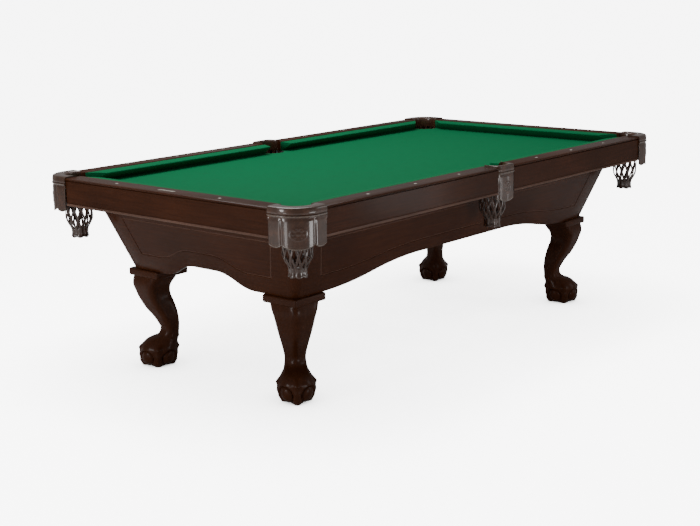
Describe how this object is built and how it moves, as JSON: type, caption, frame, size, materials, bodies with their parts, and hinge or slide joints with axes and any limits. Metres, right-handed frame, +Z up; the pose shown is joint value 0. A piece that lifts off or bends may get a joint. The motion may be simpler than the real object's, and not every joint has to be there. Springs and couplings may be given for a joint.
{
  "type": "pool table",
  "caption": "Eight-foot slate-bed pool table with green cloth, dark wood rails and tapered cabinet, leather drop pockets with woven nets, and carved ball-and-claw legs.",
  "frame": {"origin": "on the floor under the middle of the table", "axes": "+X along the table from the head end to the foot end, +Y across it to the back side, +Z up"},
  "size_m": [2.507, 1.39, 0.806],
  "materials": {
    "stained_wood": "dark espresso stain under satin lacquer",
    "inner_wood": "planed unfinished poplar",
    "cloth": "green woollen billiard cloth",
    "slate": "honed slate",
    "cushion_rubber": "moulded gum rubber",
    "pocket_leather": "dark brown polished leather",
    "net_leather": "dark brown braided leather straps",
    "iron": "black painted cast iron",
    "steel": "zinc plated steel",
    "leveller_metal": "plated steel levelling foot",
    "sight_pearl": "pearl inlay",
    "plate_metal": "plain brushed plate"
  },
  "bodies": {
    "table": {"bed_cloth": "cloth", "cabinet_end_foot": "stained_wood", "cabinet_end_head": "stained_wood", "cabinet_side_back": "stained_wood", "cabinet_side_front": "stained_wood", "corner_blocks": "inner_wood", "corner_posts": "stained_wood", "cushion_back_foot": "cushion_rubber", "cushion_back_head": "cushion_rubber", "cushion_foot": "cushion_rubber", "cushion_front_foot": "cushion_rubber", "cushion_front_head": "cushion_rubber", "cushion_head": "cushion_rubber", "fascia_back_foot": "stained_wood", "fascia_back_head": "stained_wood", "fascia_foot": "stained_wood", "fascia_front_foot": "stained_wood", "fascia_front_head": "stained_wood", "fascia_head": "stained_wood", "frame_beams": "inner_wood", "leg_bolts": "steel", "leg_caps": "stained_wood", "leg_foot_back": "stained_wood", "leg_foot_front": "stained_wood", "leg_head_back": "stained_wood", "leg_head_front": "stained_wood", "leveller_inserts": "steel", "name_plate": "plate_metal", "pocket_bolts": "steel", "pocket_irons": "iron", "pocket_leather_foot_back": "pocket_leather", "pocket_leather_foot_front": "pocket_leather", "pocket_leather_head_back": "pocket_leather", "pocket_leather_head_front": "pocket_leather", "pocket_leather_middle_back": "pocket_leather", "pocket_leather_middle_front": "pocket_leather", "pocket_net_foot_back": "net_leather", "pocket_net_foot_front": "net_leather", "pocket_net_head_back": "net_leather", "pocket_net_head_front": "net_leather", "pocket_net_middle_back": "net_leather", "pocket_net_middle_front": "net_leather", "rail_back_foot": "stained_wood", "rail_back_head": "stained_wood", "rail_bolts": "steel", "rail_cloths": "cloth", "rail_foot": "stained_wood", "rail_front_foot": "stained_wood", "rail_front_head": "stained_wood", "rail_head": "stained_wood", "sights": "sight_pearl", "slate_backing": "inner_wood", "slate_foot": "slate", "slate_head": "slate", "slate_middle": "slate", "slate_screws": "steel"},
    "leveller_head_front": {"leveller_head_front": "leveller_metal"},
    "leveller_head_back": {"leveller_head_back": "leveller_metal"},
    "leveller_foot_front": {"leveller_foot_front": "leveller_metal"},
    "leveller_foot_back": {"leveller_foot_back": "leveller_metal"}
  },
  "joints": [
    {"name": "leveller_head_front_travel", "type": "slide", "parent": "table", "child": "leveller_head_front", "axis": [0, 0, -1], "range_m": [0, 0.012]},
    {"name": "leveller_head_back_travel", "type": "slide", "parent": "table", "child": "leveller_head_back", "axis": [0, 0, -1], "range_m": [0, 0.012]},
    {"name": "leveller_foot_front_travel", "type": "slide", "parent": "table", "child": "leveller_foot_front", "axis": [0, 0, -1], "range_m": [0, 0.012]},
    {"name": "leveller_foot_back_travel", "type": "slide", "parent": "table", "child": "leveller_foot_back", "axis": [0, 0, -1], "range_m": [0, 0.012]}
  ]
}
